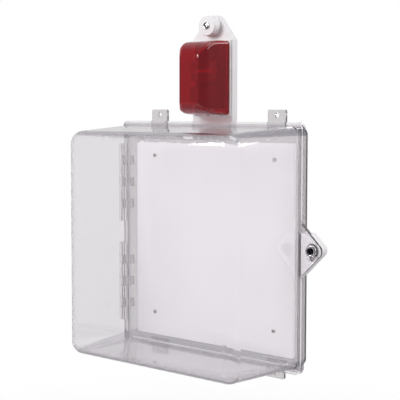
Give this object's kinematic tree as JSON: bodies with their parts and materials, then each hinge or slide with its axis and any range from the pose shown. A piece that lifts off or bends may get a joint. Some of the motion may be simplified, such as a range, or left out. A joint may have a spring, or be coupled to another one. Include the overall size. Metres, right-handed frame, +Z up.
{
  "type": "wall mounted protective cabinet",
  "caption": "Clear wall cabinet with a hinged dome cover, cam lock, white mounting panel and a red strobe siren with key switch on top.",
  "frame": {"origin": "centre of the four wall screw holes, on the wall plane at the back of the base tray", "axes": "+Z up along the height, +Y into the wall, +X to the right seen from the front; the cover faces -Y"},
  "size_m": [0.4191, 0.1935, 0.5985],
  "materials": {
    "clear_polycarbonate": "clear moulded polycarbonate, polished",
    "white_panel": "white sheet plastic, satin",
    "white_moulding": "white moulded plastic, fine texture",
    "red_lens": "red translucent polycarbonate, polished",
    "screw_steel": "zinc plated steel",
    "pin_steel": "drawn stainless steel",
    "lock_chrome": "bright chrome plate",
    "reflector_chrome": "metallised reflector",
    "tube_glass": "clear glass",
    "board_laminate": "green solder mask on glass epoxy board",
    "black_moulding": "black moulded plastic",
    "battery_case": "plain dark wrapped steel can",
    "gasket_foam": "grey closed cell foam",
    "grommet_rubber": "black rubber"
  },
  "bodies": {
    "base": {"base_tray": "clear_polycarbonate", "mounting_panel": "white_panel", "panel_screws": "screw_steel", "hinge_pins": "pin_steel", "latch_keeper": "white_moulding", "keeper_screws": "screw_steel", "siren_housing": "white_moulding", "housing_screws": "screw_steel", "wire_grommet": "grommet_rubber", "siren_chassis": "white_moulding", "siren_lens": "red_lens", "lens_screws": "screw_steel", "circuit_board": "board_laminate", "board_screws": "screw_steel", "strobe_reflector": "reflector_chrome", "strobe_tube": "tube_glass", "tube_caps": "pin_steel", "sounder": "black_moulding", "battery_cradle": "black_moulding", "battery": "battery_case", "alarm_switch_body": "lock_chrome", "alarm_switch_nut": "screw_steel", "door_switch": "white_moulding"},
    "cover": {"cover": "clear_polycarbonate", "cover_gasket": "gasket_foam", "door_magnet": "white_moulding", "cam_lock_body": "lock_chrome", "cam_lock_clip": "screw_steel"},
    "lock_plug": {"cam_lock_plug": "lock_chrome", "lock_cam": "screw_steel", "cam_screw": "screw_steel"},
    "alarm_key": {"alarm_switch_plug": "lock_chrome"}
  },
  "joints": [
    {"name": "cover_hinge", "type": "hinge", "parent": "base", "child": "cover", "pos_m": [-0.1931, -0.023, 0], "axis": [0, 0, -1], "range_deg": [0, 105]},
    {"name": "lock_turn", "type": "hinge", "parent": "cover", "child": "lock_plug", "pos_m": [0.201, -0.03, 0], "axis": [0, 1, 0], "range_deg": [0, 90]},
    {"name": "alarm_key_turn", "type": "hinge", "parent": "base", "child": "alarm_key", "pos_m": [0, -0.0315, 0.359], "axis": [0, 1, 0], "range_deg": [0, 90]}
  ]
}
